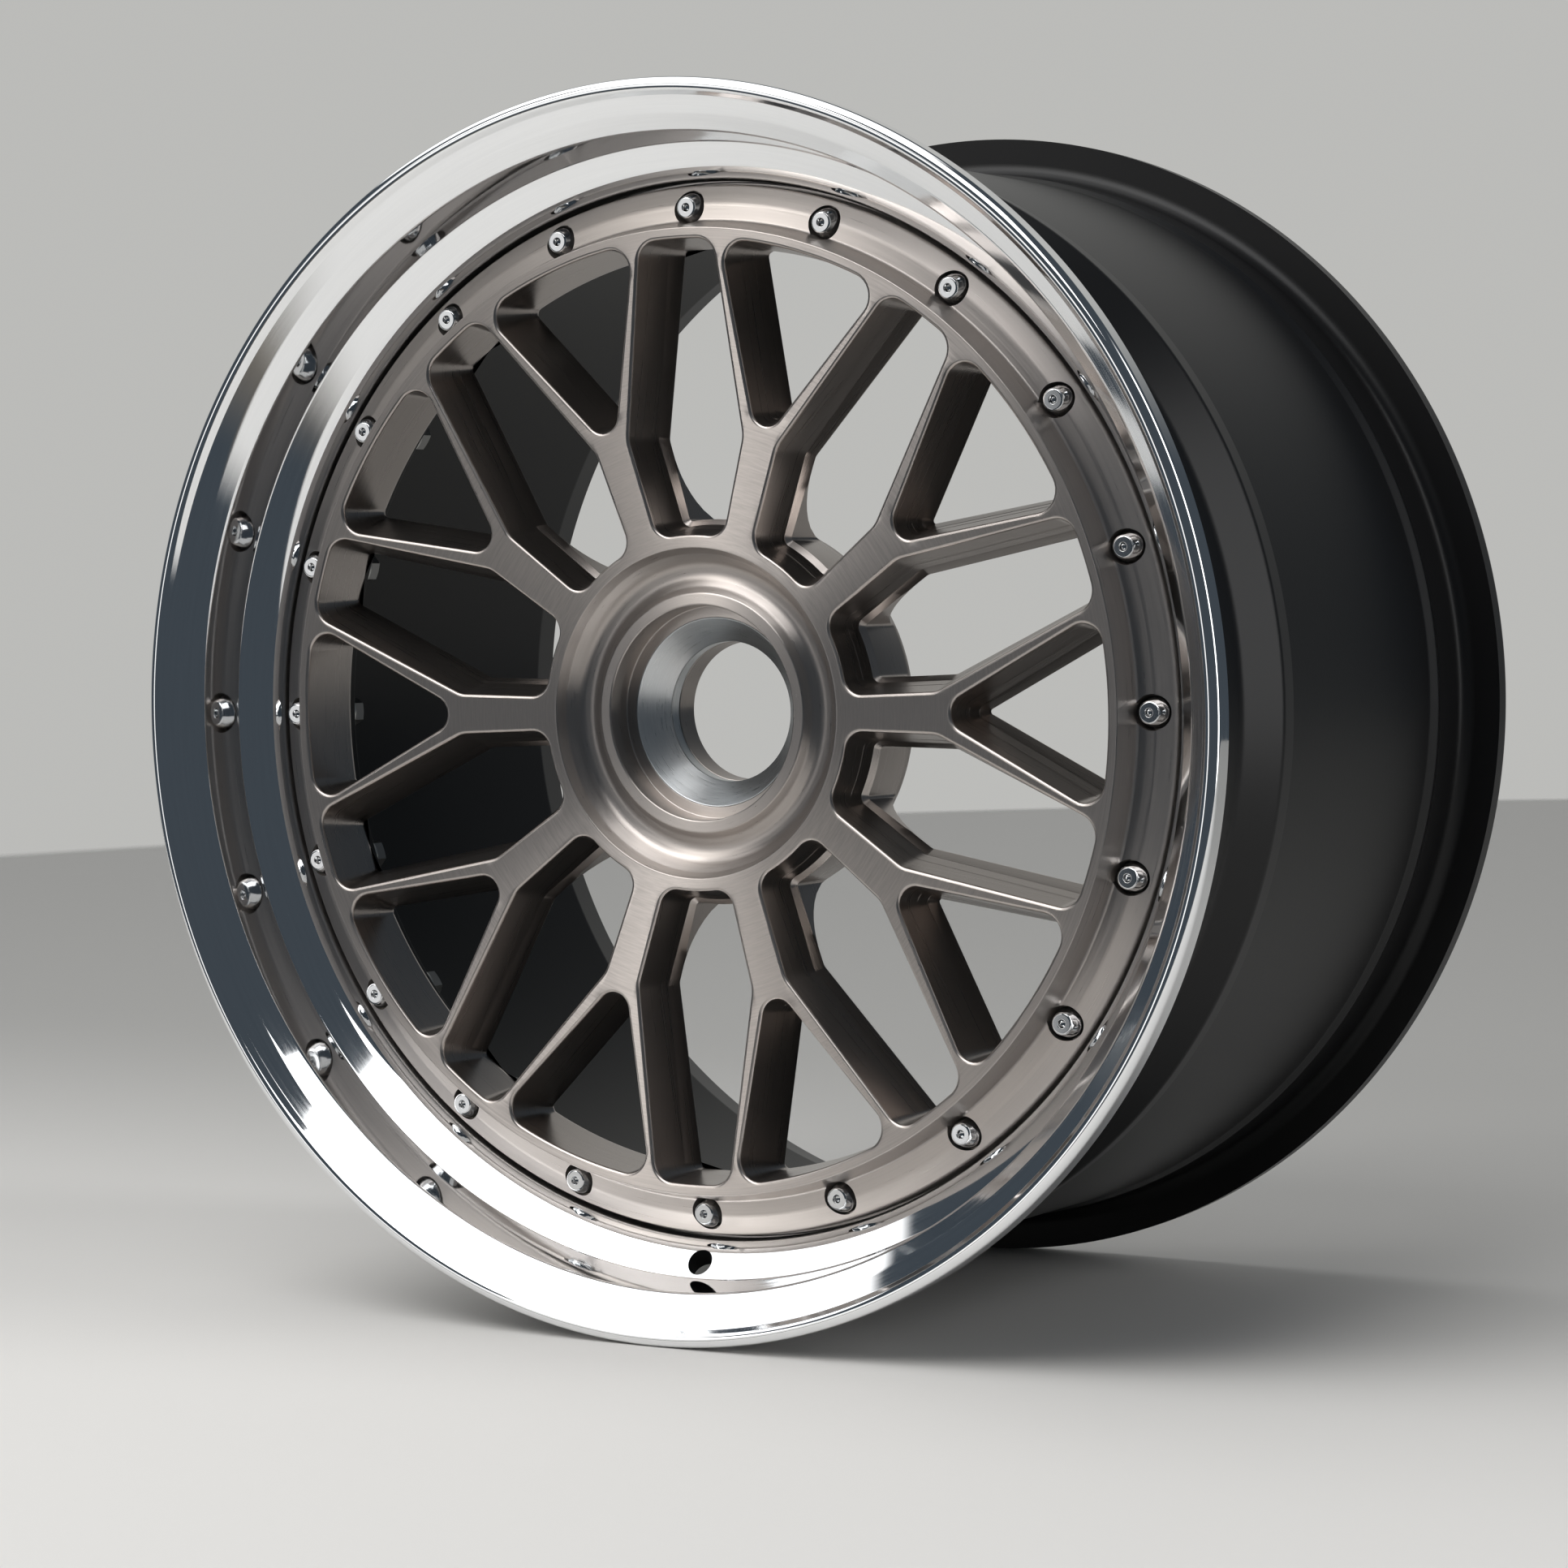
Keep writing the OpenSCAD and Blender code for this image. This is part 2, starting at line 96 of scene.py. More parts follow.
def rounded(corners, fineness=7, guard=0.25):
    """The corners (radius, along the axis, rounding) in mm as points, with each corner rounded.

    A guard point stands just outside each end of an arc, so that the flats between shade flat."""
    points = [Vector(corners[0][:2])]
    for before, here, after in zip(corners, corners[1:], corners[2:]):
        corner, rounding = Vector(here[:2]), here[2]
        back = Vector(before[:2]) - corner
        ahead = Vector(after[:2]) - corner
        half = back.angle(ahead) / 2
        if rounding == 0 or math.pi - 2 * half < 0.01:
            points.append(corner)
            continue
        reach = rounding / math.tan(half)
        centre = corner + (back.normalized() + ahead.normalized()).normalized() * rounding / math.sin(half)
        start = corner + back.normalized() * reach
        end = corner + ahead.normalized() * reach
        steps = max(2, round(math.degrees(math.pi - 2 * half) / fineness))
        points.append(start + back.normalized() * guard)
        points += arc(centre, rounding, heading_of(start - centre), heading_of(end - centre), steps)
        points.append(end + ahead.normalized() * guard)
    points.append(Vector(corners[-1][:2]))
    return points


def turn(bm, run, finish=0, steps=TURN_STEPS, centre=0):
    """Turns a run of points in mm about an axis along Y, at that distance from the wheel's axis.

    One sector is spun and the others are its copies, which is quicker than one long spin."""
    old = set(bm.verts) | set(bm.edges) | set(bm.faces)
    points = [bm.verts.new(((centre + radius) * MM, along * MM, 0)) for radius, along in run]
    edges = [bm.edges.new(pair) for pair in zip(points, points[1:])]
    about = {"cent": (centre * MM, 0, 0), "axis": (0, 1, 0)}
    sector = 2 * math.pi / SECTORS
    bmesh.ops.spin(bm, geom=points + edges, angle=sector, steps=steps // SECTORS, **about)
    made = [part for part in bm.verts[:] + bm.edges[:] + bm.faces[:] if part not in old]
    for part in made:
        if isinstance(part, bmesh.types.BMFace):
            part.material_index = finish
    bmesh.ops.spin(
        bm, geom=made, angle=sector * (SECTORS - 1), steps=SECTORS - 1, use_duplicate=True, **about)


def piece_of(bm, name, finishes, crease=32):
    """Closes a mesh, points it outwards and makes it a smooth piece with its finishes."""
    bmesh.ops.remove_doubles(bm, verts=bm.verts, dist=SAME_PLACE * MM)
    bmesh.ops.recalc_face_normals(bm, faces=bm.faces)
    for face in bm.faces:
        face.smooth = True
    mesh = bpy.data.meshes.new(name)
    bm.to_mesh(mesh)
    bm.free()
    mesh.set_sharp_from_angle(angle=math.radians(crease))
    for finish in finishes:
        mesh.materials.append(finish)
    piece = bpy.data.objects.new(name, mesh)
    bpy.context.scene.collection.objects.link(piece)
    return piece


def repeat(bm, count):
    """Sets copies of everything in bm evenly round the wheel's axis."""
    bmesh.ops.spin(
        bm, geom=bm.verts[:] + bm.edges[:] + bm.faces[:], cent=(0, 0, 0), axis=(0, 1, 0),
        angle=2 * math.pi * (count - 1) / count, steps=count - 1, use_duplicate=True)


def settle(piece):
    """Makes the outcome of the piece's modifiers its own mesh."""
    rough = piece.data
    piece.data = bpy.data.meshes.new_from_object(piece.evaluated_get(bpy.context.evaluated_depsgraph_get()))
    piece.modifiers.clear()
    bpy.data.meshes.remove(rough)


def cut(piece, tool, operation="DIFFERENCE", crease=32):
    """Cuts a piece with a tool, which then goes."""
    modifier = piece.modifiers.new("cut", "BOOLEAN")
    modifier.operation = operation
    modifier.object = tool
    modifier.solver = "EXACT"
    settle(piece)
    bm = bmesh.new()
    bm.from_mesh(piece.data)
    bmesh.ops.remove_doubles(bm, verts=bm.verts, dist=SLIVER * MM)
    bm.to_mesh(piece.data)
    bm.free()
    piece.data.set_sharp_from_angle(angle=math.radians(crease))
    tool_mesh = tool.data
    bpy.data.objects.remove(tool)
    bpy.data.meshes.remove(tool_mesh)


def add_rod(bm, start, end, radius, finish=0, steps=48):
    """A round bar between two places given in mm."""
    start, end = Vector(start) * MM, Vector(end) * MM
    old_faces = set(bm.faces)
    upright = (end - start).to_track_quat("Z", "Y").to_matrix().to_4x4()
    bmesh.ops.create_cone(
        bm, cap_ends=True, segments=steps, radius1=radius * MM, radius2=radius * MM,
        depth=(end - start).length, matrix=Matrix.Translation((start + end) / 2) @ upright)
    for face in set(bm.faces) - old_faces:
        face.material_index = finish


def new_finish(name, colour, roughness, metallic=1.0):
    """A material with its plain look set, and its shader node."""
    material = bpy.data.materials.new(name)
    material.use_nodes = True
    shader = material.node_tree.nodes["Principled BSDF"]
    shader.inputs["Base Color"].default_value = (*colour, 1)
    shader.inputs["Roughness"].default_value = roughness
    shader.inputs["Metallic"].default_value = metallic
    return material, shader


def node(tree, kind, *sources, **settings):
    """A new node, with its inputs in order linked to sockets or set to values."""
    made = tree.nodes.new(kind)
    for name, value in settings.items():
        setattr(made, name, value)
    for socket, source in zip(made.inputs, sources):
        if isinstance(source, bpy.types.NodeSocket):
            tree.links.new(source, socket)
        elif source is not None:
            socket.default_value = source
    return made


def add_bump(tree, shader, source, height, strength=1.0):
    """Makes a surface look raised by a source's value times a height in metres."""
    bump = node(tree, "ShaderNodeBump")
    bump.inputs["Distance"].default_value = height
    bump.inputs["Strength"].default_value = strength
    tree.links.new(source, bump.inputs["Height"])
    tree.links.new(bump.outputs[0], shader.inputs["Normal"])


def turned_grain_group():
    """Fine marks that run round the wheel's axis, from a lathe tool or a polishing belt."""
    group = bpy.data.node_groups.new("turned grain", "ShaderNodeTree")
    group.interface.new_socket("Marks per Metre", in_out="INPUT", socket_type="NodeSocketFloat")
    group.interface.new_socket("Breaks per Radian", in_out="INPUT", socket_type="NodeSocketFloat")
    group.interface.new_socket("Grain", in_out="OUTPUT", socket_type="NodeSocketFloat")
    inputs = node(group, "NodeGroupInput")
    place = node(group, "ShaderNodeSeparateXYZ", node(group, "ShaderNodeTexCoord").outputs["Object"])
    flat = node(group, "ShaderNodeCombineXYZ", place.outputs[0], 0.0, place.outputs[2])
    radius = node(group, "ShaderNodeVectorMath", flat.outputs[0], operation="LENGTH")
    way = node(group, "ShaderNodeVectorMath", flat.outputs[0], operation="NORMALIZE")
    way = node(group, "ShaderNodeVectorMath", way.outputs[0], operation="SCALE")
    group.links.new(inputs.outputs["Breaks per Radian"], way.inputs["Scale"])
    way = node(group, "ShaderNodeSeparateXYZ", way.outputs[0])
    marks = inputs.outputs["Marks per Metre"]
    across = node(group, "ShaderNodeMath", radius.outputs["Value"], marks, operation="MULTIPLY")
    along = node(group, "ShaderNodeMath", place.outputs[1], marks, operation="MULTIPLY")
    spot = node(group, "ShaderNodeCombineXYZ", across.outputs[0], way.outputs[0], way.outputs[2])
    noise = node(
        group, "ShaderNodeTexNoise", spot.outputs[0], along.outputs[0], 1.0, 3.0, 0.6, noise_dimensions="4D")
    node(group, "NodeGroupOutput", noise.outputs["Fac"])
    return group


turned_grain = turned_grain_group()


def add_turned_grain(material, shader, marks, breaks, colours, roughness, height):
    """Lets the turned grain vary a finish between two colours and two roughnesses, and mark it."""
    tree = material.node_tree
    grain = node(tree, "ShaderNodeGroup", node_tree=turned_grain)
    grain.inputs["Marks per Metre"].default_value = marks
    grain.inputs["Breaks per Radian"].default_value = breaks
    soft = node(tree, "ShaderNodeMapRange", grain.outputs["Grain"], NOISE_LOW, NOISE_HIGH, 0.0, 1.0)
    tint = node(tree, "ShaderNodeMixRGB", soft.outputs[0], (*colours[0], 1), (*colours[1], 1))
    rough = node(tree, "ShaderNodeMapRange", grain.outputs["Grain"], NOISE_LOW, NOISE_HIGH, *roughness)
    tree.links.new(tint.outputs[0], shader.inputs["Base Color"])
    tree.links.new(rough.outputs[0], shader.inputs["Roughness"])
    add_bump(tree, shader, grain.outputs["Grain"], height)


mirror_polish, shader = new_finish("mirror polish", (0.89, 0.90, 0.91), 0.05)
add_turned_grain(
    mirror_polish, shader, marks=900, breaks=6, colours=((0.87, 0.88, 0.89), (0.91, 0.92, 0.93)),
    roughness=(0.03, 0.07), height=0.0000015)

satin_black, shader = new_finish("satin black coat", (0.006, 0.006, 0.0065), 0.36, 0.0)
shader.inputs["Specular IOR Level"].default_value = 0.3
tree = satin_black.node_tree
peel = node(
    tree, "ShaderNodeTexNoise", node(tree, "ShaderNodeTexCoord").outputs["Object"], None, 700.0, 2.0)
add_bump(tree, shader, peel.outputs["Fac"], height=0.00004, strength=0.5)

bm = bmesh.new()
turn(bm, rounded(LIP_POLISHED), 0)
turn(bm, rounded(LIP_TYRE_SIDE), 1)
outer_rim_half = piece_of(bm, "polished_outer_half", [mirror_polish, satin_black])
valve_start, valve_end = [
    [place + reach * way for place, way in zip(VALVE_PLACE, VALVE_WAY)] for reach in VALVE_DRILL]
bm = bmesh.new()
add_rod(bm, (0, valve_start[1], -valve_start[0]), (0, valve_end[1], -valve_end[0]), VALVE_HOLE_R, 1)
cut(outer_rim_half, piece_of(bm, "valve_drill", []))
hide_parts("outer_rim_half")
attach(outer_rim_half, "root")

# Inner rim half: the deep barrel behind the disc, spun from aluminium and coated satin black
# inside and out. It carries the well, the safety hump, the rear bead seat and the rear flange.
BARREL_INSIDE = [
    (202.5, -82.5, 0), (202.5, -75.5, 0.4), (225.5, -75.5, 3), (225.5, -64, 10), (236.5, -45, 12),
    (236.5, 118.2, 8), (240, 136.2, 2.5), (246.6, 141.95, 14), (253.4, 146.6, 0.5),
    (256, 149.7, 3), (261, 149.7, 3.2), (261, 139.7, 0)]
BARREL_TYRE_SIDE = [
    (261, 139.7, 0), (243.7, 139.7, 6.5), (241.8, 118.2, 4), (243, 114.2, 2.5), (241, 108.5, 4),
    (241, -35, 3), (242, -46, 5), (232, -65.5, 8), (232, -79.5, 0.3), (229, -82.5, 0.3), (202.5, -82.5, 0)]

bm = bmesh.new()
turn(bm, rounded(BARREL_INSIDE))
turn(bm, rounded(BARREL_TYRE_SIDE))
inner_rim_half = piece_of(bm, "black_inner_half", [satin_black])
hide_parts("inner_rim_half")
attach(inner_rim_half, "root")

# Sealing bead: black sealant laid round the groove where the two rim halves meet, so that
# the tyre's air can't escape between them.
sealant, shader = new_finish("sealant", (0.02, 0.02, 0.021), 0.55, 0.0)
sealing_bead = frame["nodes"]["sealing_bead"]
sealing_bead.data.materials.clear()
sealing_bead.data.materials.append(sealant)

# Centre disc: one forging with the hub, ten forked spokes and the ring that the bolts hold.
# The windows are milled with a tapered cutter, hub and ring are turned, and the face is
# brushed round the wheel's axis under a dark titanium coat.
SPOKES = 10
HALF_PITCH = math.pi / SPOKES
# Steps of the arcs and lines that make up the outlines
ARC_STEPS = 12
HUB_ARC_STEPS = 4
CORNER_STEPS = 9
STEM_STEPS = 9
KNEE_STEPS = 4
APEX_STEPS = 7
LARGE_RING_STEPS = 3
SMALL_RING_STEPS = 6
# Height of the conical spoke face at the windows' inner ends, and its fall per mm outwards
FACE_PLACE = -108.93
FACE_FALL = 0.0603
SEAT_PLACE = -88.5
WINDOW_IN_R = 75
WINDOW_OUT_R = 197.6
# Walls of a large window from its own middle line: a point on each, and its angle
STEM_WALL = ((80.54, 18.08), 16.15)
ARM_WALL = ((189.84, 18.92), -7.0)
# Wall of a small window from its own middle line
FORK_WALL = ((116.0, 0.0), 27.3)
HUB_CORNER_R = 8.3
KNEE_R = 12
RING_CORNER_R = 9
FORK_APEX_R = 7.7
EDGE_R = 1.4
WALL_DEPTH = 24
BACK_EDGE = 0.8
# Longest edge in mm that each pass leaves inside a surface, finer on the face than on the back
FACE_PASSES = (24, 12, 6, 5)
BACK_PASSES = (24, 12, 8)
# How far a wall leans in to the disc's back, and the part of it that the ring side keeps
WALL_LEAN = 6.5
RING_LEAN = 0.4
# Depths at which the cutter left a fine step, and the step
STEP_DEPTHS = (11.0, 17.0)
STEP = 0.12
# The hub's sweep down to its rear pad: the middle and the radius of the arc in the profile
SWEEP_MIDDLE = (112, -56.5)
SWEEP_R = 32
SWEEP_START = (80.7, -63.15)
PAD_EDGE = (78.3, -59)
HUB_END_R = 79.5
FACE_IN_R = 70.2
FACE_OUT_R = 201.6
BACK_OUT_R = 197
HUB_SIDE = [
    (69.5, -108.6, 0.5), (67.2, -104.2, 3), (62.5, -98.6, 5), (57.5, -97.4, 5), (53, -99.8, 4),
    (50.4, -102.7, 1.2), (45.3, -102.9, 0.8), (45.3, -90.4, 0.6), (40.25, -90.4, 0.2), (40.25, -72.8, 0.2),
    (29.5, -72.8, 0.3), (29.5, -61.5, 0.6), (33, -58, 0.6), (77.3, -58, 0.7), PAD_EDGE + (0.7,)]
RING_SIDE = [
    (202.2, -116.6, 0.5), (205.4, -105.3, 1.5), (212.6, -104.3, 5), (221, -100.5, 2.2), (221, -88.5, 0.4),
    (202.2, -88.5, 0.3), (202.2, -85.5, 0.5), (197.2, -85.5, 0.5)]
POCKET_R = 7.3
POCKET_FLOOR = -96.9
MILL_START = -130
BOLT_COUNT = 20
BOLT_CIRCLE_R = 211.3
PIN_COUNT = 5
PIN_CIRCLE_R = 56
BUSH_R = 12.05
BUSH_LENGTH = 18
PAD_PLACE = -58
# How far the bush drill starts behind the pad
DRILL_CLEAR = 5


def face_height(radius):
    """Place along the axis of the disc's conical face."""
    return FACE_PLACE - FACE_FALL * (radius - WINDOW_IN_R)


def back_height(radius):
    """Place along the axis of the disc's back, from the rear pad down the sweep to the flat."""
    if radius >= SWEEP_MIDDLE[0]:
        return SEAT_PLACE
    if radius >= SWEEP_START[0]:
        return SWEEP_MIDDLE[1] - math.sqrt(SWEEP_R ** 2 - (SWEEP_MIDDLE[0] - radius) ** 2)
    share = (radius - PAD_EDGE[0]) / (SWEEP_START[0] - PAD_EDGE[0])
    return PAD_EDGE[1] + share * (SWEEP_START[1] - PAD_EDGE[1])


def wall(place, angle):
    """A point, the direction and the inward side of a window's upper wall."""
    heading = Vector((math.cos(math.radians(angle)), math.sin(math.radians(angle))))
    return Vector(place), heading, Vector((heading.y, -heading.x))


def on_circle(point, heading, reach):
    """Where a line meets a circle about the wheel's axis, going its own way."""
    along = point.dot(heading)
    return point + heading * (-along + math.sqrt(along ** 2 - point.length_squared + reach ** 2))


def ring_arc(radius, start, end, steps):
    """Points on a circle about the wheel's axis, without the first."""
    return arc(Vector((0, 0)), radius, start, end, steps)[1:]


def large_window(lean):
    """Upper half of a large window about its middle line, from the hub out, leaned in by so much."""
    stem, stem_way, stem_in = wall(*STEM_WALL)
    arm, arm_way, arm_in = wall(*ARM_WALL)
    ring_reach = WINDOW_OUT_R + (1 - RING_LEAN) * max(lean, 0)
    hub_middle = on_circle(stem + HUB_CORNER_R * stem_in, stem_way, WINDOW_IN_R + HUB_CORNER_R)
    ring_middle = on_circle(arm + RING_CORNER_R * arm_in, arm_way, ring_reach - RING_CORNER_R)
    p, q = stem + KNEE_R * stem_in, arm + KNEE_R * arm_in
    gap = q - p
    knee_middle = p + stem_way * (gap.x * arm_way.y - gap.y * arm_way.x) / (
        stem_way.x * arm_way.y - stem_way.y * arm_way.x)
    hub_turn = heading_of(hub_middle)
    ring_turn = heading_of(ring_middle)
    hub_reach = hub_middle.length - (HUB_CORNER_R - lean)
    ring_end = ring_middle.length + RING_CORNER_R - lean
    hub_corner = arc(hub_middle, HUB_CORNER_R - lean, hub_turn + math.pi, heading_of(-stem_in), CORNER_STEPS)
    knee = arc(knee_middle, KNEE_R - lean, heading_of(-stem_in), heading_of(-arm_in), KNEE_STEPS)
    return (
        arc(Vector((0, 0)), hub_reach, 0, hub_turn, HUB_ARC_STEPS)[:-1] + hub_corner
        + [hub_corner[-1].lerp(knee[0], i / STEM_STEPS) for i in range(1, STEM_STEPS)] + knee
        + arc(ring_middle, RING_CORNER_R - lean, heading_of(-arm_in), ring_turn, CORNER_STEPS)
        + ring_arc(ring_end, ring_turn, 0, LARGE_RING_STEPS))


def small_window(lean):
    """Upper half of a small window about its middle line, from its apex out, leaned in by so much."""
    foot, way, inward = wall(*FORK_WALL)
    ring_reach = WINDOW_OUT_R + (1 - RING_LEAN) * max(lean, 0)
    apex_middle = foot + Vector((FORK_APEX_R / math.sin(math.radians(FORK_WALL[1])), 0))
    ring_middle = on_circle(foot + RING_CORNER_R * inward, way, ring_reach - RING_CORNER_R)
    ring_turn = heading_of(ring_middle)
    ring_end = ring_middle.length + RING_CORNER_R - lean
    return (
        arc(apex_middle, FORK_APEX_R - lean, math.pi, heading_of(-inward), APEX_STEPS)
        + arc(ring_middle, RING_CORNER_R - lean, heading_of(-inward), ring_turn, CORNER_STEPS)
        + ring_arc(ring_end, ring_turn, 0, SMALL_RING_STEPS))


def beside_spoke(outline):
    """A large window's half outline, moved beside the spoke that lies along +X."""
    across = Vector((math.cos(HALF_PITCH), math.sin(HALF_PITCH)))
    return [Vector((p.x * across.x + p.y * across.y, p.x * across.y - p.y * across.x)) for p in outline]


def lay(points, height):
    """Flat points as places in metres, at the height that goes with their radius."""
    return [Vector((p.x, height(p.length), p.y)) * MM for p in points]


def extend(bm, line, places, finish):
    """Extrudes a line of vertices to new places. Gives the new line."""
    edges = [bm.edges.get(pair) or bm.edges.new(pair) for pair in zip(line, line[1:])]
    new_geometry = bmesh.ops.extrude_edge_only(bm, edges=edges)["geom"]
    new_line = [None] * len(line)
    spots = {v.co.to_tuple(7): i for i, v in enumerate(line)}
    for part in new_geometry:
        if isinstance(part, bmesh.types.BMVert):
            new_line[spots[part.co.to_tuple(7)]] = part
        elif isinstance(part, bmesh.types.BMFace):
            part.material_index = finish
    for vertex, place in zip(new_line, places):
        vertex.co = place
    return new_line


def sector_outline(hub_r, ring_r, lean):
    """Half a spoke's outline: along the hub, the small window, the ring and the large window."""
    middle = Vector((0, 0))
    return [
        arc(middle, hub_r, HALF_PITCH, 0, ARC_STEPS), small_window(lean),
        arc(middle, ring_r, 0, HALF_PITCH, ARC_STEPS), beside_spoke(large_window(lean))[::-1]]


def flat_of(bm, outline, height, finish, passes):
    """A surface inside the outline at a height that goes with the radius. Gives the outline's lines."""
    lines = [[bm.verts.new(place) for place in lay(part, height)] for part in outline]
    bm.faces.new(sum(lines, [])).material_index = finish
    bm.verts.index_update()
    numbers = [[vertex.index for vertex in line] for line in lines]
    for longest in passes:
        bmesh.ops.triangulate(bm, faces=bm.faces[:])
        inner = [edge for edge in bm.edges if len(edge.link_faces) == 2 and edge.calc_length() > longest * MM]
        bmesh.ops.subdivide_edges(bm, edges=inner, cuts=1)
    bmesh.ops.triangulate(bm, faces=bm.faces[:])
    for vertex in bm.verts:
        vertex.co.y = height(math.hypot(vertex.co.x, vertex.co.z) / MM) * MM
    bm.verts.ensure_lookup_table()
    return [[bm.verts[number] for number in line] for line in numbers]


def run_down(bm, line, outline):
    """Makes a window's wall: its rounded edge, the cutter's fine steps and the edge at the disc's back."""
    def down_to(lean, depth):
        return extend(bm, line, lay(outline(lean), lambda radius: face_height(radius) + depth), WALLS)

    for share in (0.25, 0.5, 0.75, 1):
        angle = share * math.pi / 2
        line = down_to(EDGE_R * (math.sin(angle) - 1), EDGE_R * (1 - math.cos(angle)))
    for depth in STEP_DEPTHS:
        lean = WALL_LEAN * (depth - EDGE_R) / WALL_DEPTH
        line = down_to(lean, depth)
        line = down_to(lean + STEP, depth + STEP)
    leant = outline(WALL_LEAN)
    line = extend(bm, line, lay(leant, lambda radius: SEAT_PLACE - 2 * BACK_EDGE), WALLS)
    line = extend(bm, line, lay(leant, lambda radius: back_height(radius) - BACK_EDGE), WALLS)
    return extend(bm, line, lay(outline(WALL_LEAN - BACK_EDGE), back_height), TURNED)


def go_round(bm, line, corners):
    """Carries an arc of the face's outline along a turned profile."""
    ways = [Vector((vertex.co.x, vertex.co.z)).normalized() for vertex in line]
    for point in rounded(corners)[1:]:
        places = [Vector((way.x * point.x, point.y, way.y * point.x)) * MM for way in ways]
        line = extend(bm, line, places, TURNED)
    return line


FACE, WALLS, TURNED = 0, 1, 2
TITANIUM = (0.45, 0.412, 0.387)


def stretch_glints(material, shader, amount):
    """Stretches a finish's glints out from the wheel's axis, as fine marks that run round it do."""
    shader.inputs["Anisotropic"].default_value = amount
    shader.inputs["Anisotropic Rotation"].default_value = 0.25
    tangent = node(material.node_tree, "ShaderNodeTangent", direction_type="RADIAL", axis="Y")
    material.node_tree.links.new(tangent.outputs[0], shader.inputs["Tangent"])


dark_titanium, shader = new_finish("brushed titanium coat", TITANIUM, 0.3)
add_turned_grain(
    dark_titanium, shader, marks=1500, breaks=9, colours=((0.41, 0.375, 0.352), (0.54, 0.496, 0.466)),
    roughness=(0.34, 0.5), height=0.000006)
stretch_glints(dark_titanium, shader, 0.92)

titanium_turned, shader = new_finish("turned titanium coat", TITANIUM, 0.24)
add_turned_grain(
    titanium_turned, shader, marks=1600, breaks=5, colours=((0.43, 0.394, 0.37), (0.47, 0.431, 0.405)),
    roughness=(0.27, 0.36), height=0.000002)
stretch_glints(titanium_turned, shader, 0.85)

titanium_walls, shader = new_finish("milled titanium coat", TITANIUM, 0.26)
tree = titanium_walls.node_tree
place = node(tree, "ShaderNodeMapping", node(tree, "ShaderNodeTexCoord").outputs["Object"])
place.inputs["Scale"].default_value = (12, 2200, 12)
streaks = node(tree, "ShaderNodeTexNoise", place.outputs[0], None, 1.0, 2.0)
rough = node(tree, "ShaderNodeMapRange", streaks.outputs["Fac"], NOISE_LOW, NOISE_HIGH, 0.27, 0.31)
tree.links.new(rough.outputs[0], shader.inputs["Roughness"])
add_bump(tree, shader, streaks.outputs["Fac"], height=0.0000003)

bm = bmesh.new()
hub_line, small_line, ring_line, large_line = flat_of(
    bm, sector_outline(FACE_IN_R, FACE_OUT_R, -EDGE_R), face_height, FACE, FACE_PASSES)
run_down(bm, small_line, small_window)
run_down(bm, large_line[::-1], lambda lean: beside_spoke(large_window(lean)))
go_round(bm, hub_line, (
    [(FACE_IN_R, face_height(FACE_IN_R), 0)] + HUB_SIDE + [(HUB_END_R, back_height(HUB_END_R), 0)]))
go_round(bm, ring_line, (
    [(FACE_OUT_R, face_height(FACE_OUT_R), 0)] + RING_SIDE + [(BACK_OUT_R, SEAT_PLACE, 0)]))
back = bmesh.new()
back_outline = sector_outline(HUB_END_R, BACK_OUT_R, WALL_LEAN - BACK_EDGE)
flat_of(back, back_outline, back_height, TURNED, BACK_PASSES)
back_mesh = bpy.data.meshes.new("back")
back.to_mesh(back_mesh)
back.free()
bm.from_mesh(back_mesh)
bpy.data.meshes.remove(back_mesh)
bmesh.ops.mirror(
    bm, geom=bm.verts[:] + bm.edges[:] + bm.faces[:], matrix=Matrix(), merge_dist=SAME_PLACE * MM, axis="Z")
repeat(bm, SPOKES)
centre_disc = piece_of(bm, "forked_disc", [dark_titanium, titanium_walls, titanium_turned])
bm = bmesh.new()
add_rod(bm, (BOLT_CIRCLE_R, MILL_START, 0), (BOLT_CIRCLE_R, POCKET_FLOOR, 0), POCKET_R, TURNED)
repeat(bm, BOLT_COUNT)
cut(centre_disc, piece_of(bm, "pocket_mill", []))
bm = bmesh.new()
add_rod(
    bm, (PIN_CIRCLE_R, PAD_PLACE + DRILL_CLEAR, 0), (PIN_CIRCLE_R, PAD_PLACE - BUSH_LENGTH, 0),
    BUSH_R, TURNED)
repeat(bm, PIN_COUNT)
cut(centre_disc, piece_of(bm, "bush_drill", []))
evening = centre_disc.modifiers.new("even shading", "WEIGHTED_NORMAL")
evening.keep_sharp = True
settle(centre_disc)
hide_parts("centre_disc")
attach(centre_disc, "root")

# Nut seat insert: a hard steel ring pressed into the hub, with the polished cone that the
# centre nut pulls on.
INSERT_PROFILE = [
    (34, -72.9, 0), (29.8, -72.9, 0.3), (29.8, -78.8, 0.8), (39.9, -90.6, 0.3), (40.2, -90.3, 0.1),
    (40.2, -72.9, 0.3), (34, -72.9, 0)]

bright_steel, shader = new_finish("bright steel", (0.62, 0.65, 0.68), 0.2)
add_turned_grain(
    bright_steel, shader, marks=2500, breaks=3, colours=((0.60, 0.62, 0.63), (0.68, 0.70, 0.71)),
    roughness=(0.26, 0.36), height=0.000003)
bm = bmesh.new()
turn(bm, rounded(INSERT_PROFILE), steps=192)
nut_seat_insert = piece_of(bm, "steel_nut_seat", [bright_steel])
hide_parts("nut_seat_insert")
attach(nut_seat_insert, "root")

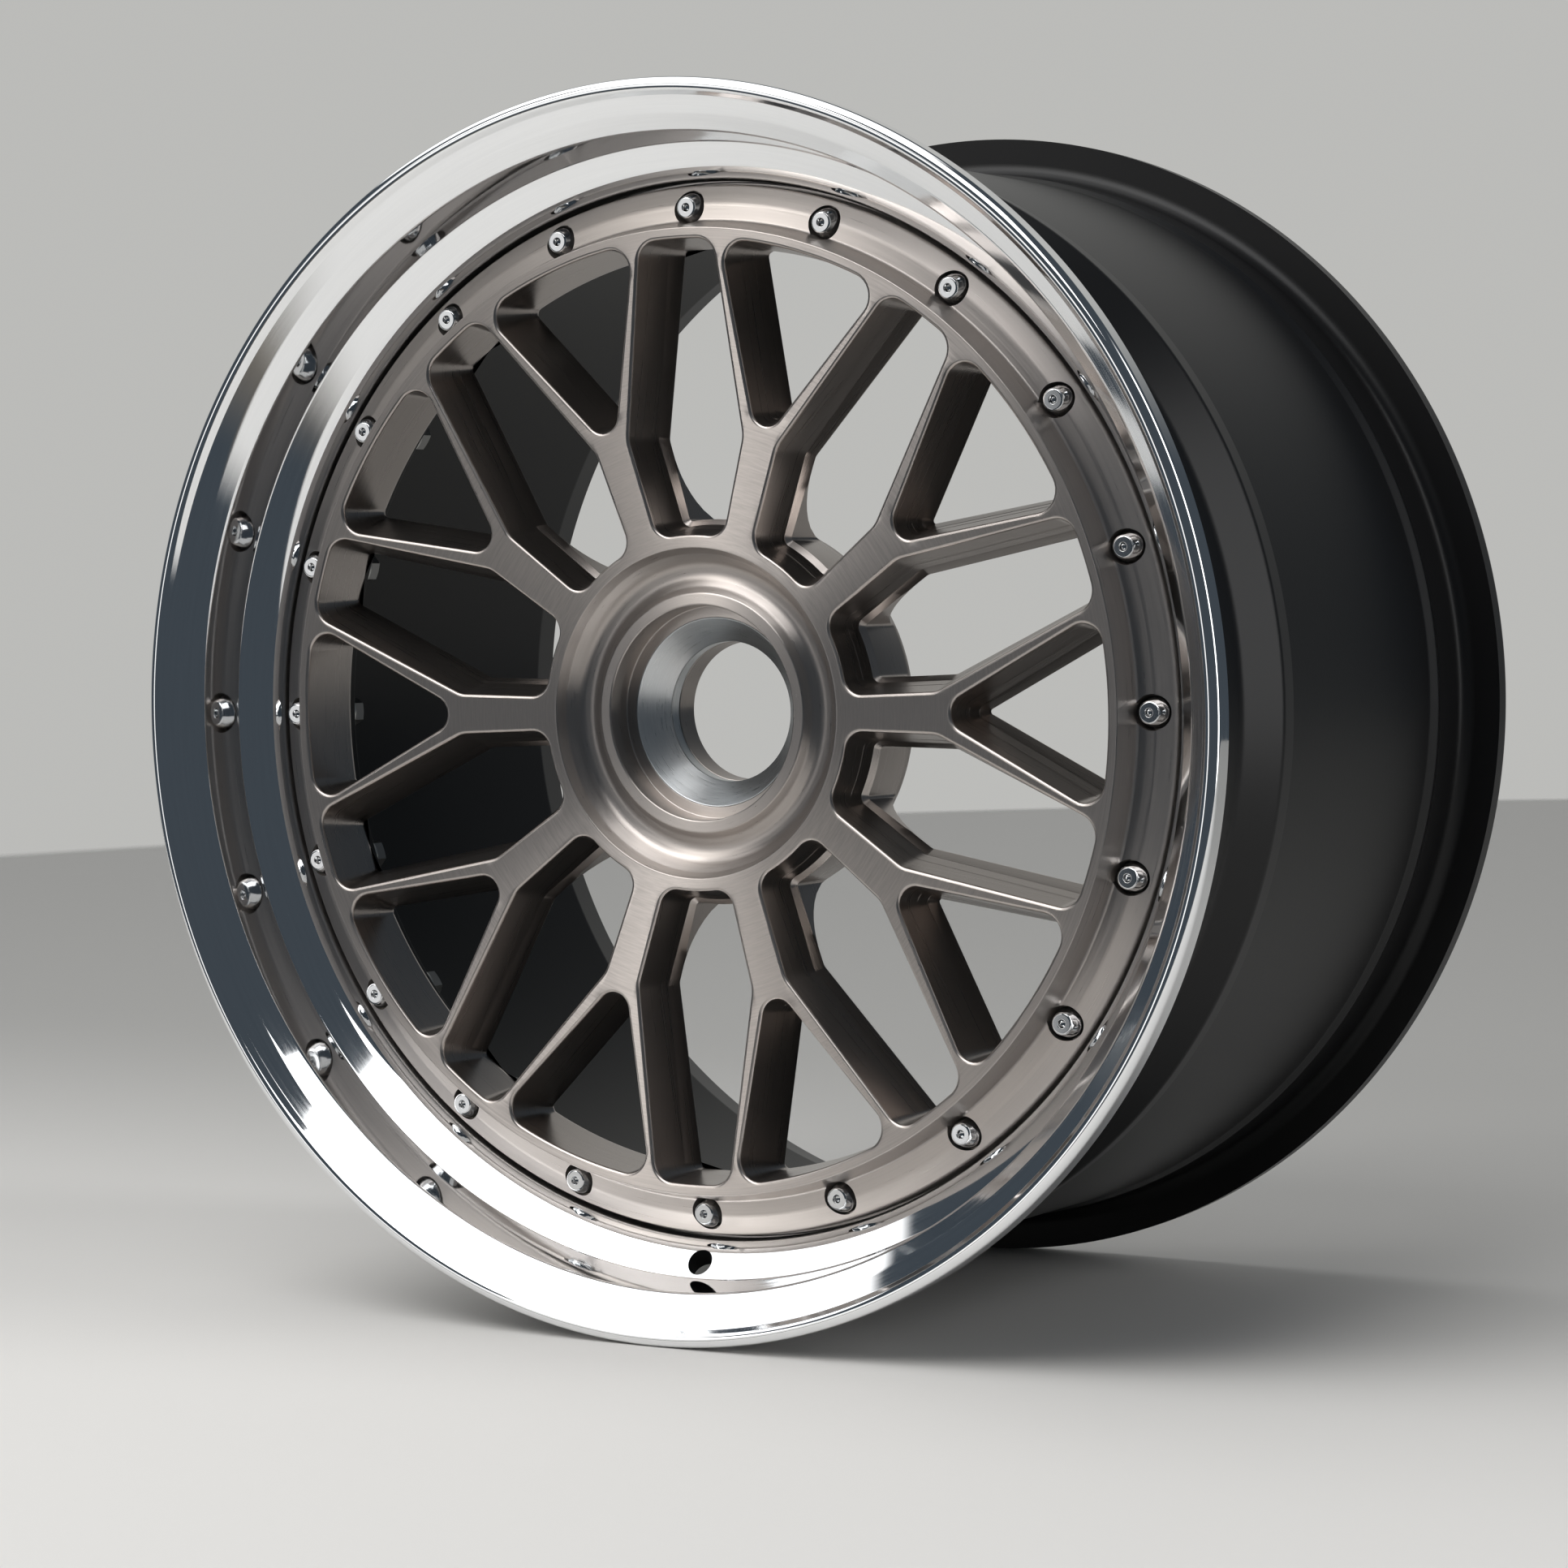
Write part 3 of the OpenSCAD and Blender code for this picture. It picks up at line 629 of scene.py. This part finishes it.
# Drive pin bushes: five plain steel sleeves pressed into the hub's rear face, which slide
# over the pins of the vehicle's hub.
BUSH_PROFILE = [
    (10, -58.5, 0), (12, -58.5, 0.6), (12, -76, 0.3), (8, -76, 0.3), (8, -58.5, 0.8), (10, -58.5, 0)]

plain_steel, shader = new_finish("zinc plated steel", (0.55, 0.55, 0.53), 0.32)
bm = bmesh.new()
turn(bm, rounded(BUSH_PROFILE), steps=48, centre=PIN_CIRCLE_R)
repeat(bm, PIN_COUNT)
drive_pin_bushes = piece_of(bm, "steel_bushes", [plain_steel])
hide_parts("drive_pin_bushes")
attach(drive_pin_bushes, "root")

# Rim bolts: twenty chromed bolts that clamp disc, lip and barrel in one ring. Each has a
# round domed head with a centre hole, which sinks in a pocket of the disc.
SHANK_R = 4
BOLT_HEAD = [
    (0, -103.4, 0), (1.7, -104.9, 0), (1.7, -107.4, 0.25), (4.4, -107.4, 0.9), (5.7, -104.2, 2.5),
    (6.6, -101.6, 2), (6.6, -96.95, 0.2), (SHANK_R, -96.95, 0)]
BOLT_END = [(SHANK_R, -63.9), (SHANK_R - 0.5, -63.5), (0, -63.5)]
THREAD_START, THREAD_PITCH, THREAD_RIDGES, THREAD_DEPTH = -76, 1.25, 9, 0.45

chrome, shader = new_finish("bolt chrome", (0.60, 0.605, 0.61), 0.06)
bm = bmesh.new()
thread = [
    (SHANK_R - THREAD_DEPTH * (i % 2), THREAD_START + i * THREAD_PITCH / 2)
    for i in range(2 * THREAD_RIDGES + 1)]
turn(bm, rounded(BOLT_HEAD, fineness=12, guard=0.08) + thread + BOLT_END, steps=36, centre=BOLT_CIRCLE_R)
repeat(bm, BOLT_COUNT)
rim_bolts = piece_of(bm, "chrome_rim_bolts", [chrome])
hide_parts("rim_bolts")
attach(rim_bolts, "root")

# Rim washers: a plated steel washer behind each bolt hole, under the nut.
rim_washers = frame["nodes"]["rim_washers"]
rim_washers.data.materials.clear()
rim_washers.data.materials.append(plain_steel)

# Rim nuts: a plated steel flange nut on each bolt, inside the barrel.
NUT_FOOT, NUT_TOP = -74, -66
NUT_CORNER_R = 7.5
NUT_TURNED = [(4.1, -73), (9, -73), (9, -67.3), (6.4, -66), (4.7, -66), (4.1, -66.6), (4.1, -73)]
NUT_SKIRT = [
    (6, -74, 0), (8, -74, 0.2), (8, -73.3, 0.4), (6.2, -71.8, 0.4), (4.1, -71.8, 0), (4.1, -74, 0),
    (6, -74, 0)]

nut_steel, shader = new_finish("nut steel", (0.28, 0.28, 0.275), 0.38)
bm = bmesh.new()
turn(bm, NUT_TURNED, steps=36, centre=BOLT_CIRCLE_R)
rim_nuts = piece_of(bm, "steel_rim_nuts", [nut_steel])
bm = bmesh.new()
add_rod(bm, (BOLT_CIRCLE_R, NUT_FOOT + 0.5, 0), (BOLT_CIRCLE_R, NUT_TOP + 1, 0), NUT_CORNER_R, steps=6)
cut(rim_nuts, piece_of(bm, "hexagon", []), "INTERSECT")
bm = bmesh.new()
bm.from_mesh(rim_nuts.data)
turn(bm, rounded(NUT_SKIRT, fineness=15, guard=0.05), steps=36, centre=BOLT_CIRCLE_R)
bmesh.ops.remove_doubles(bm, verts=bm.verts, dist=SAME_PLACE * MM)
bmesh.ops.recalc_face_normals(bm, faces=bm.faces)
repeat(bm, BOLT_COUNT)
bm.to_mesh(rim_nuts.data)
bm.free()
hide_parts("rim_nuts")
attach(rim_nuts, "root")

# Studio: a pale floor under the flanges, a pale wall behind, and a bright panel overhead, a strip
# on the right and daylight on the left for the polished parts to mirror. The camera is where the
# photographer stood.
FLOOR_PLACE = -0.261
FLOOR_R = 3.0
FLOOR_MIDDLE = (-0.2, 1.9, 0)
# Distances from the floor's middle between which it fades out
FLOOR_FADE = (2.5, 2.62)
# Places along Y between which the floor turns from its near colour to its far colour, a painted shade for
# less light falling on the floor further back
FLOOR_SHADE_DEPTHS = (-0.45, 0.9)
FLOOR_NEAR_COLOUR = (0.80, 0.785, 0.76)
# Painted shade: the floor's far colour is darker than its near colour to stand in for the light falling off
# further back
FLOOR_FAR_SHADE_COLOUR = (0.42, 0.415, 0.40)
WALL_COLOUR = (0.50, 0.50, 0.485)
CEILING_COLOUR = (1.5, 1.5, 1.5)
# Edges of the bright panel overhead, as the share sideways of a step up
CEILING_ACROSS = (-1.6, 0.15)
CEILING_ALONG = (-1.15, 0.35)
CEILING_SOFT = 0.1
# Share upwards below which the bright panel has gone, and above which it is whole
CEILING_FOOT = (0.2, 0.3)
DARK_COLOUR = (0.05, 0.062, 0.075)
STRIP_COLOUR = (3.4, 3.4, 3.4)
# The way to the strip on the right, the way across it, half its width and its edges' softness
STRIP_WAY = (0.984, 0.18, 0)
STRIP_ACROSS = (-0.18, 0.984, 0)
STRIP_HALF, STRIP_SOFT = 0.2, 0.1
DAYLIGHT_COLOUR = (1.1, 1.1, 1.1)
UPPER_DAYLIGHT_COLOUR = (3.2, 3.15, 3.05)
# The same four for the daylight on the left, and the share upwards where its upper part starts
DAYLIGHT_WAY = (-0.552, -0.834, 0)
DAYLIGHT_ACROSS = (0.834, -0.552, 0)
DAYLIGHT_HALF, DAYLIGHT_SOFT = 0.115, 0.03
UPPER_DAYLIGHT_FOOT = (0.16, 0.22)
# Lower and upper end of strip and daylight, and the softness of both ends
UPRIGHT_ENDS = (-0.28, 0.78)
UPRIGHT_SOFT = 0.1
UPRIGHT_REACH, UPRIGHT_FULL = 75, 65
GROUND_COLOUR = (0.16, 0.145, 0.125)
GROUND_REACH, GROUND_FULL = 62, 52
# The way to the wall behind the wheel, and the angles within which it shows in the polished parts
BACKDROP_WAY = (-0.6, 0.8, 0)
BACKDROP_REACH, BACKDROP_FULL = 58, 38

bm = bmesh.new()
bmesh.ops.create_circle(
    bm, cap_ends=True, segments=128, radius=FLOOR_R,
    matrix=Matrix.Translation((*FLOOR_MIDDLE[:2], FLOOR_PLACE)))
floor_paint, shader = new_finish("floor paint", FLOOR_NEAR_COLOUR, 0.7, 0.0)
tree = floor_paint.node_tree
spot = node(tree, "ShaderNodeSeparateXYZ", node(tree, "ShaderNodeTexCoord").outputs["Object"])
# Painted shade: the floor is painted darker from front to back, standing in for less light reaching it
# further from the lamp
depth = node(
    tree, "ShaderNodeMapRange", spot.outputs[1], *FLOOR_SHADE_DEPTHS, 0.0, 1.0, interpolation_type="SMOOTHSTEP")
paint = node(tree, "ShaderNodeMixRGB", depth.outputs[0], (*FLOOR_NEAR_COLOUR, 1), (*FLOOR_FAR_SHADE_COLOUR, 1))
tree.links.new(paint.outputs[0], shader.inputs["Base Color"])
from_middle = node(
    tree, "ShaderNodeVectorMath", node(tree, "ShaderNodeTexCoord").outputs["Object"], FLOOR_MIDDLE,
    operation="DISTANCE")
fade = node(
    tree, "ShaderNodeMapRange", from_middle.outputs["Value"], *FLOOR_FADE, 1.0, 0.0,
    interpolation_type="SMOOTHSTEP")
tree.links.new(fade.outputs[0], shader.inputs["Alpha"])
floor = piece_of(bm, "floor", [floor_paint])

world = bpy.data.worlds.new("studio")
world.use_nodes = True
bpy.context.scene.world = world
tree = world.node_tree
tree.nodes.clear()
way = node(tree, "ShaderNodeTexCoord").outputs["Generated"]
way_x, way_y, way_z = node(tree, "ShaderNodeSeparateXYZ", way).outputs


def ramp(value, start, end):
    """0 on one side of a soft edge and 1 on the other."""
    return node(
        tree, "ShaderNodeMapRange", value, start, end, 0.0, 1.0, interpolation_type="SMOOTHSTEP").outputs[0]


def combine(operation, first, second):
    return node(tree, "ShaderNodeMath", first, second, operation=operation).outputs[0]


def between(value, low, high, soft):
    """1 where the value is between two soft edges, otherwise 0."""
    return combine("MULTIPLY", ramp(value, low, low + soft), ramp(value, high, high - soft))


def toward(direction, reach, full):
    """How much a ray goes that way: 0 beyond the angle reach, 1 within the angle full."""
    dot = node(tree, "ShaderNodeVectorMath", way, Vector(direction).normalized(), operation="DOT_PRODUCT")
    return ramp(dot.outputs["Value"], math.cos(math.radians(reach)), math.cos(math.radians(full)))


def upright(direction, across, half_width, soft):
    """Where a tall panel stands on one side of the wheel."""
    sideways = node(tree, "ShaderNodeVectorMath", way, across, operation="DOT_PRODUCT").outputs["Value"]
    strip = between(sideways, -half_width, half_width, soft)
    strip = combine("MULTIPLY", strip, between(way_z, *UPRIGHT_ENDS, UPRIGHT_SOFT))
    return combine("MULTIPLY", strip, toward(direction, UPRIGHT_REACH, UPRIGHT_FULL))


def lit(under, share, colour):
    """The light under a share of a new colour."""
    return node(tree, "ShaderNodeMixRGB", share, under, (*colour, 1)).outputs[0]


across_up = combine("DIVIDE", way_x, way_z)
along_up = combine("DIVIDE", way_y, way_z)
overhead = between(across_up, *CEILING_ACROSS, CEILING_SOFT)
overhead = combine("MULTIPLY", overhead, between(along_up, *CEILING_ALONG, CEILING_SOFT))
overhead = combine("MULTIPLY", overhead, ramp(way_z, *CEILING_FOOT))
backdrop = toward(BACKDROP_WAY, BACKDROP_REACH, BACKDROP_FULL)
strip = upright(STRIP_WAY, STRIP_ACROSS, STRIP_HALF, STRIP_SOFT)
daylight = upright(DAYLIGHT_WAY, DAYLIGHT_ACROSS, DAYLIGHT_HALF, DAYLIGHT_SOFT)
upper_daylight = combine("MULTIPLY", daylight, ramp(way_z, *UPPER_DAYLIGHT_FOOT))
studio = lit((*DARK_COLOUR, 1), backdrop, WALL_COLOUR)
studio = lit(studio, strip, STRIP_COLOUR)
studio = lit(studio, daylight, DAYLIGHT_COLOUR)
studio = lit(studio, upper_daylight, UPPER_DAYLIGHT_COLOUR)
studio = lit(studio, overhead, CEILING_COLOUR)
studio = lit(studio, toward((0, 0, -1), GROUND_REACH, GROUND_FULL), GROUND_COLOUR)
ray = node(tree, "ShaderNodeLightPath")
mirrored = combine("MAXIMUM", ray.outputs["Is Glossy Ray"], ray.outputs["Is Transmission Ray"])
shown = combine("MAXIMUM", ray.outputs["Is Camera Ray"], combine("MULTIPLY", mirrored, backdrop))
seen = lit(studio, shown, WALL_COLOUR)
glow = node(tree, "ShaderNodeBackground", seen, 1.0)
node(tree, "ShaderNodeOutputWorld", glow.outputs[0])

lamp_data = bpy.data.lights.new("overhead", "AREA")
lamp_data.shape = "RECTANGLE"
lamp_data.size = 2.2
lamp_data.size_y = 1.6
lamp_data.energy = 28
lamp = bpy.data.objects.new("overhead", lamp_data)
lamp.matrix_world = Matrix.Translation((-0.3, -1.5, 1.9)) @ Matrix.Rotation(math.radians(38), 4, "X")
bpy.context.scene.collection.objects.link(lamp)

CAMERA_SPOT = (0.91085, -1.53493, 0.06107)
CAMERA_TURN, CAMERA_DROP, CAMERA_TILT = math.radians(31.27), math.radians(3.069), math.radians(1.1395)
camera_data = bpy.data.cameras.new("camera")
camera_data.sensor_width = 36
camera_data.lens = 92.66
camera = bpy.data.objects.new("camera", camera_data)
camera.matrix_world = (
    Matrix.Rotation(CAMERA_TILT, 4, "Y") @ Matrix.Translation(CAMERA_SPOT)
    @ Matrix.Rotation(CAMERA_TURN, 4, "Z") @ Matrix.Rotation(math.pi / 2 - CAMERA_DROP, 4, "X"))
bpy.context.scene.collection.objects.link(camera)
bpy.context.scene.camera = camera
bpy.context.scene.view_settings.view_transform = "Standard"
